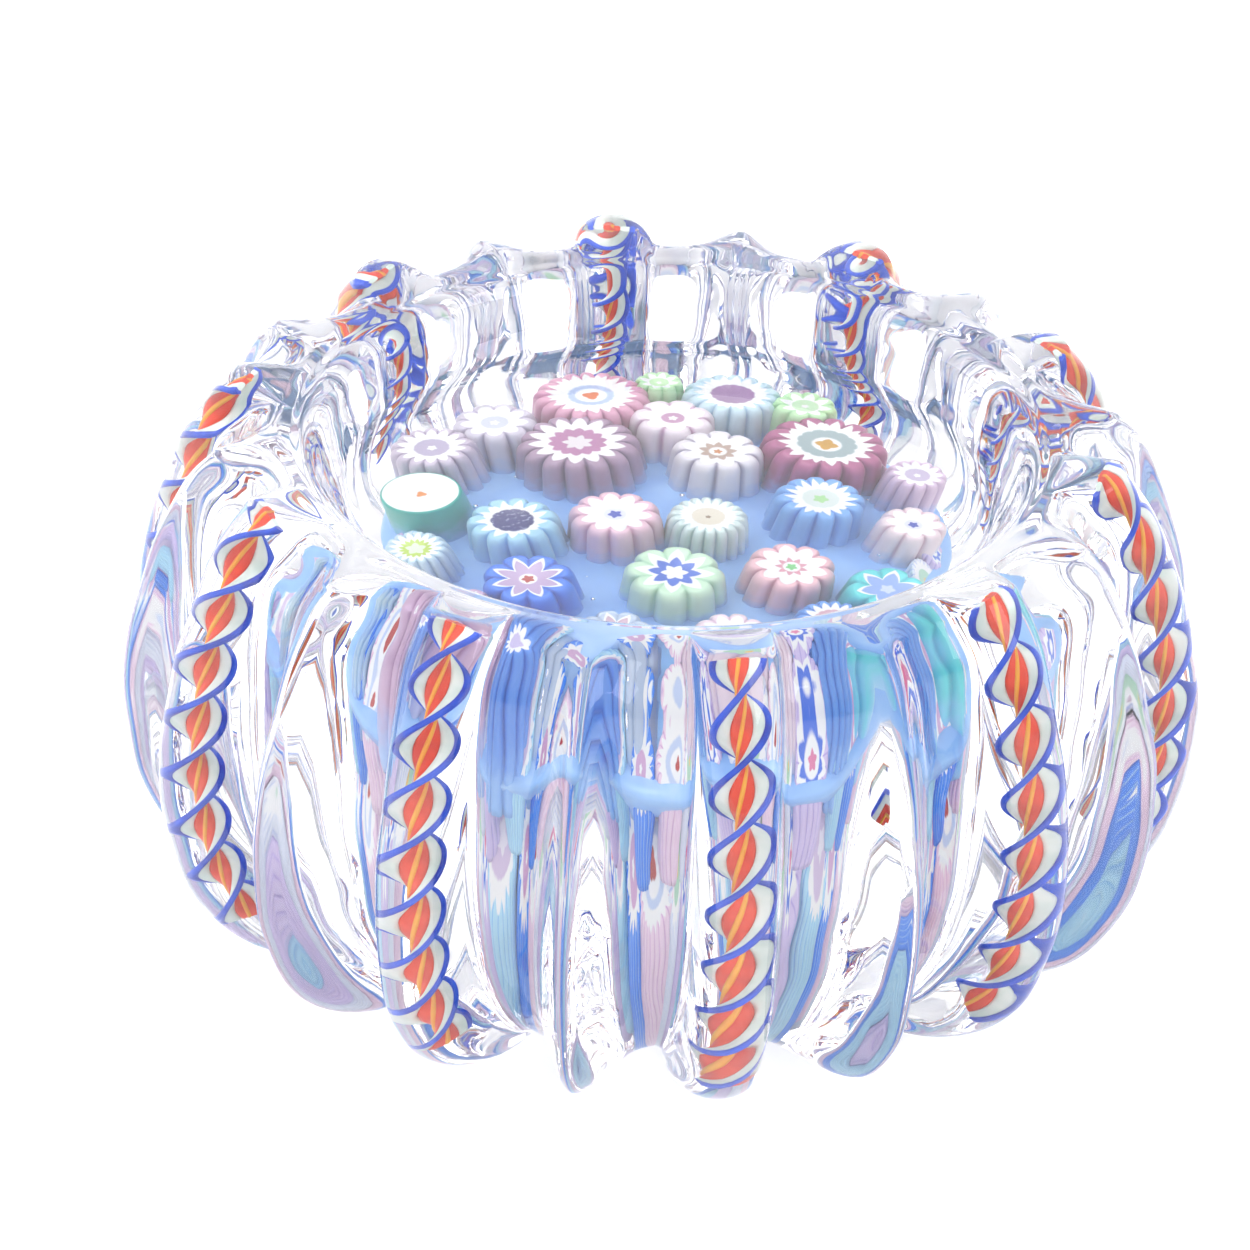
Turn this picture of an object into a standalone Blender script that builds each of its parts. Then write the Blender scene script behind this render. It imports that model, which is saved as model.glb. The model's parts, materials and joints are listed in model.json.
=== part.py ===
"""Millefiori crystal bowl: a heavy ribbed dish of clear glass over a cushion of coloured canes.

The origin is on the bowl's axis, on the flat face that it rests on, and +Z is up.
Lengths below are in millimetres and are multiplied by MM where a mesh is made.
Angles run round the axis from -Y, which is the front, towards +X.
"""
import math

import bmesh
import bpy
from mathutils import Matrix, Vector

MM = 0.001
GAP = 0.3                      # clearance between neighbouring pieces

# Crystal body
RIB_PAIRS = 10                 # twist ribs, and as many clear fins between them
PAIR_ANGLE = 360.0 / RIB_PAIRS
BODY_HEIGHT = 46.0
FOOT_RADIUS = 25.0
VALLEY_RADIUS = 41.2           # widest radius between the ribs
FIN_RADIUS = 48.6              # widest radius over the fins
FIN_HALF_WIDTH = 2.9
FIN_POWER = 2.5                # higher is blunter
# (radius, height) from the foot to the rim: the wall between the ribs, a twist rib's seat, a fin's crest
FLUTE = ((FOOT_RADIUS, 0.0), (29.0, 1.0), (33.5, 3.8), (37.6, 9.6), (40.2, 16.0), (VALLEY_RADIUS, 24.0),
         (41.2, 31.0), (41.0, 37.0), (40.0, 42.2), (37.0, 45.4))
SEAT = ((FOOT_RADIUS, 0.0), (29.0, 1.0), (33.5, 3.8), (37.6, 9.6), (40.2, 16.0), (VALLEY_RADIUS, 24.0),
        (40.8, 31.0), (39.4, 37.0), (37.6, 42.2), (35.6, BODY_HEIGHT))
CREST = ((32.0, 0.0), (37.6, 1.2), (42.6, 4.6), (46.2, 10.0), (48.2, 17.0), (FIN_RADIUS, 24.5),
         (47.3, 32.0), (45.2, 38.5), (43.0, 43.2), (40.4, BODY_HEIGHT))
# The well, from the rim's inner edge down to its middle
WELL = ((33.6, BODY_HEIGHT), (32.3, 45.7), (31.3, 44.6), (30.5, 42.6), (29.5, 40.6), (28.0, 39.3), (24.0, 39.0),
        (12.0, 39.0))
WELL_MIDDLE = 39.0

# Cushion of colour ground under the well, and the chamber that holds it and its canes
GROUND_TOP = ((28.2, 24.6), (27.0, 26.2), (24.0, 27.4), (19.0, 28.2), (10.0, 28.7))
GROUND_PEAK = 28.8
GROUND_NECK_RADIUS = 19.0      # the core that the outer canes stand round
GROUND_NECK_TOP = 23.2
GROUND_EAVE_RADIUS = 27.6      # underside of the cushion's edge, over the outer canes
BASE_RADIUS = 20.6
BASE_THICKNESS = 2.6
CHAMBER = ((BASE_RADIUS + GAP + 0.1, 0.0), (21.5, BASE_THICKNESS), (28.0, 6.0), (30.2, 12.0), (30.6, 24.0),
           (30.4, 31.0), (29.6, 34.6), (26.8, 37.0), (18.0, 37.7), (8.0, 37.8))
CHAMBER_PEAK = 37.8
CHAMBER_SIDES = 50

# Twist canes: a clear rod with a ribbon of coloured glass twisted inside it
ROD_RADIUS = 3.25
ROD_SIDES = 8
BORE_RADIUS = 2.55
BORE_SIDES = 6
ROD_LOW_STATION = 2.6          # where the rod starts and ends, counted in points of SEAT
ROD_HIGH_STATION = 8.1
ROD_STATIONS = 11
RIBBON_WIDTH = 3.7
RIBBON_THICKNESS = 0.8
RIBBON_HALF_TURNS = 8
STEPS_PER_HALF_TURN = 3

# Millefiori canes of the cushion: (distance from the axis, angle in degrees, cane radius)
CUSHION_CANES = (
    (4.8, 275, 3.5), (3.8, 65, 3.2), (10.8, 355, 3.3), (14.2, 42, 3.5), (14.1, 94, 3.5), (11.9, 149, 3.5),
    (14.5, 206, 4.1), (14.0, 272, 3.5), (17.3, 307, 3.3), (20.9, 339, 2.8), (21.2, 7, 2.9), (22.8, 31, 2.7),
    (22.7, 50, 2.8), (22.0, 80, 3.2), (24.2, 102, 2.4), (19.7, 124, 4.1), (24.3, 140, 2.3), (23.2, 156.5, 3.3),
    (17.2, 170, 2.8), (24.4, 173.5, 1.9), (22.5, 190, 3.6), (22.3, 217, 3.1), (24.0, 235, 2.5),
    (22.2, 256, 3.4), (23.4, 280, 2.5), (24.5, 305, 2.3), (24.2, 323, 2.5),
)
CANE_SIDES = 8
CANE_LENGTH = 11.0
CANE_TOP = 37.2                # height of a top on the axis
CANE_TOP_FALL = 0.0025         # how much lower a top is, times the square of its distance from the axis
CANE_LEAN = 0.004              # outward lean for each millimetre from the axis

# Taller canes that stand round the core and show through the flutes beside each rib
OUTER_CANES = 10
OUTER_FIRST_ANGLE = 9.0
OUTER_CANE_RADIUS = 3.4
OUTER_RING_TOP = 25.6          # ring radius at the canes' tops and at their feet
OUTER_RING_FOOT = 23.6
OUTER_FOOT_HEIGHT = 6.6
OUTER_TOP_HEIGHT = 22.4
OUTER_TOP_STEP = 2.4           # every second cane is this much shorter

CRYSTAL = ((0.93, 0.95, 0.98), 0.03)
GROUND_BLUE = ((0.23, 0.40, 0.80), 0.25)
TWIST_ORANGE = ((0.88, 0.10, 0.03), 0.2)
CANE_COLOURS = (
    ((0.24, 0.06, 0.20), 0.25), ((0.75, 0.36, 0.60), 0.25), ((0.78, 0.84, 0.92), 0.25),
    ((0.12, 0.42, 0.80), 0.25), ((0.40, 0.07, 0.18), 0.25), ((0.60, 0.80, 0.66), 0.25),
)


def clear_scene():
    """Remove every object, so that the script starts from nothing."""
    for obj in list(bpy.data.objects):
        bpy.data.objects.remove(obj, do_unlink=True)


def make_material(name, finish):
    """A Principled material of one colour and roughness."""
    colour, roughness = finish
    material = bpy.data.materials.new(name)
    material.use_nodes = True
    shader = material.node_tree.nodes["Principled BSDF"]
    shader.inputs["Base Color"].default_value = (*colour, 1.0)
    shader.inputs["Roughness"].default_value = roughness
    shader.inputs["Metallic"].default_value = 0.0
    return material


def add_object(name, verts, faces, material, smooth=True):
    """A mesh object from points in millimetres, with its faces turned outwards."""
    mesh = bpy.data.meshes.new(name)
    mesh.from_pydata([Vector(v) * MM for v in verts], [], faces)
    work = bmesh.new()
    work.from_mesh(mesh)
    bmesh.ops.recalc_face_normals(work, faces=work.faces)
    work.to_mesh(mesh)
    work.free()
    if smooth:
        mesh.shade_smooth()
        mesh.set_sharp_from_angle(angle=math.radians(40))
    mesh.materials.append(material)
    obj = bpy.data.objects.new(name, mesh)
    bpy.context.scene.collection.objects.link(obj)
    return obj


def smooth_point(points, station):
    """The point at a station of the smooth curve through points: 0 is the first, 1 the second."""
    last = len(points) - 1
    index = min(int(station), last - 1)
    t = station - index
    p1, p2 = Vector(points[index]), Vector(points[index + 1])
    p0 = Vector(points[index - 1]) if index > 0 else 2 * p1 - p2
    p3 = Vector(points[index + 2]) if index + 2 <= last else 2 * p2 - p1
    cubic = -p0 + 3 * p1 - 3 * p2 + p3
    square = 2 * p0 - 5 * p1 + 4 * p2 - p3
    return 0.5 * (2 * p1 + (p2 - p0) * t + square * t * t + cubic * t ** 3)


def around(radius, degrees, height):
    """The point at a radius, an angle from the front and a height."""
    angle = math.radians(degrees)
    return Vector((radius * math.sin(angle), -radius * math.cos(angle), height))


def even_ring(radius, height, sides):
    """The corners of a regular polygon round the axis."""
    return [around(radius, 360.0 * i / sides, height) for i in range(sides)]


def join_rings(rings, low_point=None, high_point=None, closed=False):
    """Vertices and faces of a skin through rings, whose sizes are equal or whole multiples."""
    verts = [v for ring in rings for v in ring]
    starts = [sum(len(r) for r in rings[:i]) for i in range(len(rings))]
    faces = []
    pairs = list(zip(range(len(rings)), range(1, len(rings))))
    if closed:
        pairs.append((len(rings) - 1, 0))
    for a, b in pairs:
        if len(rings[a]) < len(rings[b]):
            a, b = b, a
        many, few = len(rings[a]), len(rings[b])
        ratio = many // few
        for i in range(many):
            here, after = starts[a] + i, starts[a] + (i + 1) % many
            near = starts[b] + i // ratio
            far = starts[b] + (i // ratio + 1) % few
            if i % ratio == ratio // 2:
                faces.append((here, after, far, near))
            else:
                faces.append((here, after, near if i % ratio < ratio // 2 else far))
    for ring, start, point in ((rings[0], starts[0], low_point), (rings[-1], starts[-1], high_point)):
        if point is not None:
            verts.append(Vector(point))
            for i in range(len(ring)):
                faces.append((start + i, start + (i + 1) % len(ring), len(verts) - 1))
    return verts, faces


def fin_share(degrees, radius):
    """How far a point has risen from the valley to the crest of the nearest fin, 0 to 1."""
    off = degrees % PAIR_ANGLE - PAIR_ANGLE / 2
    distance = abs(math.radians(off)) * radius
    return math.exp(-(distance / FIN_HALF_WIDTH) ** FIN_POWER)


def body_angles():
    """Angles round the body, closer together over each fin. A fin stands half a pair from the front."""
    steps = (-18.0, -8.0, -5.0, -3.0, -1.3, 0.0, 1.3, 3.0, 5.0, 8.0)
    return [PAIR_ANGLE * (pair + 0.5) + step for pair in range(RIB_PAIRS) for step in steps]


def make_crystal_body(material):
    """The clear casing: fins and seats outside, the well on top, and the open chamber below."""
    angles = body_angles()
    rings = [even_ring(r, z, CHAMBER_SIDES) for r, z in reversed(CHAMBER)]
    for flute, seat, crest in zip(FLUTE, SEAT, CREST):
        ring = []
        for degrees in angles:
            wall = Vector(seat if degrees % PAIR_ANGLE == 0 else flute)
            point = wall.lerp(Vector(crest), fin_share(degrees, VALLEY_RADIUS))
            ring.append(around(point.x, degrees, point.y))
        rings.append(ring)
    rings += [even_ring(r, z, CHAMBER_SIDES) for r, z in WELL]
    verts, faces = join_rings(rings, (0, 0, CHAMBER_PEAK), (0, 0, WELL_MIDDLE))
    return add_object("crystal_body", verts, faces, material)


def make_base_gather(material):
    """The clear pad that closes the chamber, with the flat polished face underneath."""
    rings = [even_ring(BASE_RADIUS, z, CHAMBER_SIDES) for z in (0.0, BASE_THICKNESS - GAP)]
    verts, faces = join_rings(rings, (0, 0, 0), (0, 0, BASE_THICKNESS - GAP))
    return add_object("base_gather", verts, faces, material)


def cane_frame(radius, degrees):
    """The middle of a cushion cane's top and the way its axis leans."""
    top = around(radius, degrees, CANE_TOP - CANE_TOP_FALL * radius ** 2)
    lean = Vector((CANE_LEAN * top.x, CANE_LEAN * top.y, 1.0)).normalized()
    return top, lean


def prism(place, lean, radius, low, high, sides, lobes=0.0):
    """A prism along lean from low to high of place; lobes pulls every second corner in."""
    turn = lean.to_track_quat("Z", "Y").to_matrix()
    rings = []
    for height in (low, high):
        ring = []
        for i in range(sides):
            reach = radius * (1 - lobes * (i % 2))
            angle = 2 * math.pi * i / sides
            ring.append(place + turn @ Vector((reach * math.cos(angle), reach * math.sin(angle), height)))
        rings.append(ring)
    return join_rings(rings, place + lean * low, place + lean * high)


def make_colour_ground(material, cutter_material):
    """The opaque cushion, with a socket for each cane. The sockets are cut by a joined cutter."""
    rings = [even_ring(GROUND_NECK_RADIUS, BASE_THICKNESS, CHAMBER_SIDES),
             even_ring(GROUND_NECK_RADIUS, GROUND_NECK_TOP, CHAMBER_SIDES),
             even_ring(GROUND_EAVE_RADIUS, GROUND_NECK_TOP + GAP, CHAMBER_SIDES)]
    rings += [even_ring(r, z, CHAMBER_SIDES) for r, z in GROUND_TOP]
    verts, faces = join_rings(rings, (0, 0, BASE_THICKNESS), (0, 0, GROUND_PEAK))
    ground = add_object("colour_ground", verts, faces, material)
    cut_verts, cut_faces = [], []
    for radius, degrees, size in CUSHION_CANES:
        top, lean = cane_frame(radius, degrees)
        socket_verts, socket_faces = prism(top, lean, size + GAP, -CANE_LENGTH - GAP, 0.0, CANE_SIDES)
        start = len(cut_verts)
        cut_verts += socket_verts
        cut_faces += [tuple(start + i for i in face) for face in socket_faces]
    cutter = add_object("socket_cutter", cut_verts, cut_faces, cutter_material, smooth=False)
    cutter.hide_render = True
    cutter.display_type = "WIRE"
    sockets = ground.modifiers.new("sockets", "BOOLEAN")
    sockets.operation = "DIFFERENCE"
    sockets.solver = "EXACT"
    sockets.object = cutter
    return ground


def make_cushion_canes(materials):
    """The short canes that stand in the cushion's sockets."""
    for number, (radius, degrees, size) in enumerate(CUSHION_CANES, start=1):
        top, lean = cane_frame(radius, degrees)
        verts, faces = prism(top, lean, size, -CANE_LENGTH, 0.0, CANE_SIDES)
        add_object(f"cushion_cane_{number:02d}", verts, faces, materials[number % len(materials)])


def make_outer_canes(materials):
    """The tall canes round the core, leaning out a little from foot to top."""
    for number in range(1, OUTER_CANES + 1):
        degrees = OUTER_FIRST_ANGLE + 360.0 * (number - 1) / OUTER_CANES
        top_height = OUTER_TOP_HEIGHT - OUTER_TOP_STEP * (number % 2)
        foot = around(OUTER_RING_FOOT, degrees, OUTER_FOOT_HEIGHT)
        top = around(OUTER_RING_TOP, degrees, top_height)
        lean = (top - foot).normalized()
        verts, faces = prism(foot, lean, OUTER_CANE_RADIUS, 0.0, (top - foot).length, CANE_SIDES)
        add_object(f"outer_cane_{number:02d}", verts, faces, materials[number % len(materials)])


def rod_path():
    """Centres, outward normals and tangents of a rod in the plane of radius and height."""
    path = []
    for i in range(ROD_STATIONS):
        station = ROD_LOW_STATION + (ROD_HIGH_STATION - ROD_LOW_STATION) * i / (ROD_STATIONS - 1)
        here = smooth_point(SEAT, station)
        tangent = (smooth_point(SEAT, station + 0.01) - smooth_point(SEAT, station - 0.01)).normalized()
        normal = Vector((tangent.y, -tangent.x))
        path.append((here + normal * (ROD_RADIUS + GAP), normal, tangent))
    return path


def plane_to_space(point, degrees, aside=0.0):
    """A point of the radius and height plane at an angle round the axis, and its distance aside."""
    return Matrix.Rotation(math.radians(degrees), 3, "Z") @ Vector((aside, -point.x, point.y))


def rod_ring(centre, normal, degrees, radius, sides, offset=0.5):
    """A ring of points round a rod's centre, with a flat side towards the body."""
    ring = []
    for i in range(sides):
        angle = 2 * math.pi * (i + offset) / sides
        point = centre + normal * (radius * math.cos(angle))
        ring.append(plane_to_space(point, degrees, radius * math.sin(angle)))
    return ring


def make_twist_rod(number, degrees, material):
    """One bent clear rod: domed at the rim, with a bore that is open at its foot."""
    path = rod_path()
    bore = [rod_ring(c, n, degrees, BORE_RADIUS, BORE_SIDES) for c, n, _ in path]
    rings = list(reversed(bore))
    rings += [rod_ring(c, n, degrees, ROD_RADIUS, ROD_SIDES) for c, n, _ in path]
    end, normal, tangent = path[-1]
    for lift in (0.55, 0.88):
        radius = ROD_RADIUS * math.sqrt(1 - lift * lift)
        rings.append(rod_ring(end + tangent * (ROD_RADIUS * lift), normal, degrees, radius, ROD_SIDES))
    tip = plane_to_space(end + tangent * ROD_RADIUS, degrees)
    roof = plane_to_space(end + tangent * GAP, degrees)
    verts, faces = join_uneven(rings, len(bore) - 1, roof, tip)
    return add_object(f"twist_rod_{number:02d}", verts, faces, material)


def join_uneven(rings, seam, low_point, high_point):
    """Join rings as join_rings does, but fan across the seam where the ring sizes don't divide."""
    low = join_rings(rings[:seam + 1], low_point=low_point)
    high = join_rings(rings[seam + 1:], high_point=high_point)
    shift = len(low[0])
    verts = low[0] + high[0]
    faces = low[1] + [tuple(shift + i for i in face) for face in high[1]]
    inner_start = sum(len(r) for r in rings[:seam])
    inner, outer = len(rings[seam]), len(rings[seam + 1])
    i = j = 0
    while i < inner or j < outer:
        a, b = inner_start + i % inner, shift + j % outer
        if j >= outer or (i < inner and (i + 1) / inner <= (j + 1) / outer):
            faces.append((a, inner_start + (i + 1) % inner, b))
            i += 1
        else:
            faces.append((a, b, shift + (j + 1) % outer))
            j += 1
    return verts, faces


def make_twist_ribbon(number, degrees, material):
    """One flat ribbon, twisted right-handed along the middle of its rod."""
    path = rod_path()
    steps = RIBBON_HALF_TURNS * STEPS_PER_HALF_TURN
    rings = []
    for i in range(steps + 1):
        place = 0.15 + (len(path) - 1.3) * i / steps
        index = min(int(place), len(path) - 2)
        t = place - index
        centre = path[index][0].lerp(path[index + 1][0], t)
        normal = path[index][1].lerp(path[index + 1][1], t).normalized()
        twist = math.pi * i / STEPS_PER_HALF_TURN
        ring = []
        for across, through in ((1, 1), (-1, 1), (-1, -1), (1, -1)):
            x = across * RIBBON_WIDTH / 2
            y = through * RIBBON_THICKNESS / 2
            out = x * math.cos(twist) - y * math.sin(twist)
            aside = x * math.sin(twist) + y * math.cos(twist)
            ring.append(plane_to_space(centre + normal * out, degrees, aside))
        rings.append(ring)
    verts, faces = join_rings(rings)
    count = len(verts)
    faces += [(0, 1, 2, 3), tuple(range(count - 4, count))]
    return add_object(f"twist_ribbon_{number:02d}", verts, faces, material)


def main():
    clear_scene()
    crystal = make_material("crystal", CRYSTAL)
    ground = make_material("ground", GROUND_BLUE)
    twist = make_material("twist", TWIST_ORANGE)
    canes = [make_material(f"cane_{i}", finish) for i, finish in enumerate(CANE_COLOURS)]
    make_crystal_body(crystal)
    make_base_gather(crystal)
    make_colour_ground(ground, ground)
    make_cushion_canes(canes)
    make_outer_canes(canes)
    for pair in range(RIB_PAIRS):
        make_twist_rod(pair + 1, pair * PAIR_ANGLE, crystal)
        make_twist_ribbon(pair + 1, pair * PAIR_ANGLE, twist)


main()
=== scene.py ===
# %% [markdown]
# # A millefiori crystal bowl
# This lesson builds the looks of a heavy ribbed dish. Clear crystal lies over a blue cushion set with
# patterned glass canes, and ten rounded ribs each hold a twisted ribbon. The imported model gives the
# frame: every place and size here is read from it or agrees with it, in metres.

# %% Load the frame
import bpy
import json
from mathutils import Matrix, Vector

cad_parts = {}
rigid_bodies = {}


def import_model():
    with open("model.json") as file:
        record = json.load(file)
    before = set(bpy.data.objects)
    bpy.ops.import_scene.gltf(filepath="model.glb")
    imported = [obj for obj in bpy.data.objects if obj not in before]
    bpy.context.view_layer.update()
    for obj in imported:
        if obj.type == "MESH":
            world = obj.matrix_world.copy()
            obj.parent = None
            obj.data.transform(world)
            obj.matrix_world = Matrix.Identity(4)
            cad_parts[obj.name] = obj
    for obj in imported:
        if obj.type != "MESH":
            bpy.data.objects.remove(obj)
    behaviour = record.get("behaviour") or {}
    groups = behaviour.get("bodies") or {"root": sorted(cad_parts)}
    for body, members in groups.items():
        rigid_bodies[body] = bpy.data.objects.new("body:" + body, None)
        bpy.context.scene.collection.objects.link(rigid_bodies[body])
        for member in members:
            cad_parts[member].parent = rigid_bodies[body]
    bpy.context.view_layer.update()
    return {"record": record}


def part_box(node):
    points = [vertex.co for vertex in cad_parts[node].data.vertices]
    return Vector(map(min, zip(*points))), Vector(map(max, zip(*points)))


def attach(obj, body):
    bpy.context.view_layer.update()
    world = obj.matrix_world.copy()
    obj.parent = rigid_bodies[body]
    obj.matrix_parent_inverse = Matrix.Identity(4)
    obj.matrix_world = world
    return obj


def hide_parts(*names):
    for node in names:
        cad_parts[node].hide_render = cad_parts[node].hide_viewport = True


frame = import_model()

# %% Modules and units
import json
import math
from collections import namedtuple

import bpy
import numpy as np
from mathutils import Matrix, Quaternion, Vector

MM = 0.001
BODY = "root"                      # the bowl is one rigid body
PAIRS = 10                         # twist ribs, and as many clear fins
PAIR_ANGLE = 360 / PAIRS

# %% [markdown]
# ## A way to write node trees
# Shader and geometry trees are easier to read as sums than as links. A Port holds one output socket, and
# its operators add Math nodes. Board.add makes any other node: it sets the node's settings first and then
# its sockets, from plain values or from Ports.

# %% Ports and boards
class Port:
    """One output socket, which can be used in sums."""

    def __init__(self, board, socket):
        self.board = board
        self.socket = socket

    def out(self, name):
        """Another output of the same node."""
        return Port(self.board, self.socket.node.outputs[name])

    def __add__(self, other):
        return self.board.math("ADD", self, other)

    def __radd__(self, other):
        return self.board.math("ADD", other, self)

    def __sub__(self, other):
        return self.board.math("SUBTRACT", self, other)

    def __rsub__(self, other):
        return self.board.math("SUBTRACT", other, self)

    def __mul__(self, other):
        return self.board.math("MULTIPLY", self, other)

    def __rmul__(self, other):
        return self.board.math("MULTIPLY", other, self)


class Board:
    """A node tree that is filled by add."""

    def __init__(self, tree):
        self.tree = tree
        self.ids = {}

    def add(self, kind, settings=None, sockets=None):
        node = self.tree.nodes.new(kind)
        for name, value in (settings or {}).items():
            setattr(node, name, value)
        shown = [s for s in node.inputs if s.enabled]
        for key, value in (sockets or {}).items():
            socket = shown[key] if isinstance(key, int) else next(s for s in shown if s.name == key)
            if isinstance(value, Port):
                self.tree.links.new(value.socket, socket)
            elif value is not None:
                socket.default_value = value
        first = next((s for s in node.outputs if s.enabled), None)
        return Port(self, first) if first else node

    def step(self, value, low, high, smooth=True):
        """0 below low, 1 above high, and a ramp between them."""
        kind = "SMOOTHSTEP" if smooth else "LINEAR"
        return self.add("ShaderNodeMapRange", {"interpolation_type": kind},
                        {"Value": value, "From Min": low, "From Max": high})

    def mix(self, factor, first, second):
        """A colour between two colours."""
        sockets = {0: factor, 1: rgba(first), 2: rgba(second)}
        return self.add("ShaderNodeMix", {"data_type": "RGBA"}, sockets)

    def math(self, operation, *values):
        return self.add("ShaderNodeMath", {"operation": operation}, dict(enumerate(values)))

    def vector(self, operation, *values):
        return self.add("ShaderNodeVectorMath", {"operation": operation}, dict(enumerate(values)))


def rgba(colour):
    """A colour with alpha, or a Port as it is."""
    return colour if isinstance(colour, Port) or len(colour) == 4 else (*colour, 1.0)


def shader_board(name, roughness, **constants):
    """A material with one Principled shader, its board, and a function that links a port to a socket."""
    material = bpy.data.materials.new(name)
    material.use_nodes = True
    board = Board(material.node_tree)
    shader = material.node_tree.nodes["Principled BSDF"]
    shader.inputs["Roughness"].default_value = roughness
    for label, value in constants.items():
        shader.inputs[label.replace("_", " ")].default_value = value

    def link(port, label):
        material.node_tree.links.new(port.socket, shader.inputs[label])
    return material, board, link


print("boards ready")

# %% [markdown]
# ## Growing a mesh from a geometry tree
# A geometry tree starts empty, gets its named inputs, and is run by a modifier. Each input is set by its
# identifier before the object is first evaluated. The result is stored as a plain mesh and the modifier
# goes, so that the finished piece sits at the origin with its place in its vertices.

# %% Trees and growth
def growth_board(name, inputs):
    """A geometry tree with named inputs: label to (socket type, default)."""
    tree = bpy.data.node_groups.new(name, "GeometryNodeTree")
    board = Board(tree)
    tree.interface.new_socket("Geometry", in_out="INPUT", socket_type="NodeSocketGeometry")
    tree.interface.new_socket("Geometry", in_out="OUTPUT", socket_type="NodeSocketGeometry")
    for label, (kind, default) in inputs.items():
        item = tree.interface.new_socket(label, in_out="INPUT", socket_type="NodeSocket" + kind)
        if default is not None:
            item.default_value = default
        board.ids[label] = item.identifier
    board.entry = tree.nodes.new("NodeGroupInput")
    return board


def given(board, label):
    """A named input of a geometry tree, as a Port."""
    return Port(board, board.entry.outputs[label])


def close_tree(board, geometry, material_label=None):
    """End a tree: instances become real, and the whole takes its material."""
    real = board.add("GeometryNodeRealizeInstances", None, {"Geometry": geometry})
    if material_label:
        real = board.add("GeometryNodeSetMaterial", None, {"Geometry": real,
                                                           "Material": given(board, material_label)})
    board.add("NodeGroupOutput", None, {"Geometry": real})


def place_object(name, mesh):
    obj = bpy.data.objects.new(name, mesh)
    bpy.context.scene.collection.objects.link(obj)
    return obj


def grow(name, board, values, seed_mesh=None):
    """Run a tree on a mesh and keep the result as a plain mesh object."""
    obj = place_object(name, seed_mesh or bpy.data.meshes.new(name + "_seed"))
    run = obj.modifiers.new("grow", "NODES")
    run.node_group = board.tree
    for label, value in values.items():
        run[board.ids[label]] = value
    ready = obj.evaluated_get(bpy.context.evaluated_depsgraph_get())
    mesh = bpy.data.meshes.new_from_object(ready)
    mesh.name = name
    obj.modifiers.remove(run)
    obj.data = mesh
    return obj


def finish_piece(obj, slot, *nodes):
    """The frame's calls for one piece: it rides the body and stands for its nodes. Its slot is not used."""
    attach(obj, BODY)
    if nodes:
        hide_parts(*nodes)
    return obj


print("growth helpers ready")

# %% [markdown]
# ## The outline of the crystal
# Four smooth curves, each through a few points of radius and height in millimetres, give the glass its
# shape. The flute is the wall between the ribs, the seat is the bed that a twist rod lies on, and the crest
# is how far ribs and fins stand out. All three run from the foot to the rim, and the well runs from the rim
# inwards. They are the CAD's own curves, so the fine skin agrees with the frame.

# %% Outline curves
FLUTE = ((25.0, 0.0), (29.0, 1.0), (33.5, 3.8), (37.6, 9.6), (40.2, 16.0), (41.2, 24.0), (41.2, 31.0),
         (41.0, 37.0), (40.0, 42.2), (37.0, 45.4))
SEAT = ((25.0, 0.0), (29.0, 1.0), (33.5, 3.8), (37.6, 9.6), (40.2, 16.0), (41.2, 24.0), (40.8, 31.0),
        (39.4, 37.0), (37.6, 42.2), (35.6, 46.0))
CREST = ((32.0, 0.0), (37.6, 1.2), (42.6, 4.6), (46.2, 10.0), (48.2, 17.0), (48.6, 24.5), (47.3, 32.0),
         (45.2, 38.5), (43.0, 43.2), (40.4, 46.0))
WELL = ((33.6, 46.0), (32.3, 45.7), (31.3, 44.6), (30.5, 42.6), (29.5, 40.6), (28.0, 39.3), (24.0, 39.0),
        (12.0, 39.0), (0.0, 39.0))


def smooth_point(points, station):
    """The point at a station of the smooth curve through points: 0 is the first, 1 the second."""
    last = len(points) - 1
    index = min(int(station), last - 1)
    t = station - index
    p1, p2 = Vector(points[index]), Vector(points[index + 1])
    p0 = Vector(points[index - 1]) if index > 0 else 2 * p1 - p2
    p3 = Vector(points[index + 2]) if index + 2 <= last else 2 * p2 - p1
    cubic = -p0 + 3 * p1 - 3 * p2 + p3
    square = 2 * p0 - 5 * p1 + 4 * p2 - p3
    return 0.5 * (2 * p1 + (p2 - p0) * t + square * t * t + cubic * t ** 3)


def around(radius, degrees, height):
    """The point, in metres, at a radius, an angle from the front and a height in millimetres."""
    angle = math.radians(degrees)
    return Vector((radius * math.sin(angle), -radius * math.cos(angle), height)) * MM


print("rim inner radius:", WELL[0][0], "mm, well depth:", WELL[0][1] - WELL[-1][1], "mm")

# %% [markdown]
# ## Ribs in cross-section
# One pair of ribs is a rounded rod and a pointed fin. An even grid can't hold the rod's steep sides, so the
# section is a walk along the outline: each stop gives a distance along the wall and how far the skin has
# risen. On the rod the stops follow a half circle, on the fin they follow a cusp.

# %% The rib section
ROD_HALF_WIDTH = 3.7
ROD_SQUARENESS = 0.92              # below 1 the rod's sides stand steeper than a circle's
ROD_FALL = 1.1                     # above 1 its shoulders sit a little lower
ROD_FILLET = 0.9
ROD_STOPS = 11
FIN_HALF_WIDTH = 2.5
FIN_POWER = 1.75
FIN_STOPS = 12
FIN_CROWDING = 1.25                # above 1 the stops gather at the fin's crest
RIB_CLEARANCE = 0.5                # bare wall between the fin's last stop and the rod's fillet


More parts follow.
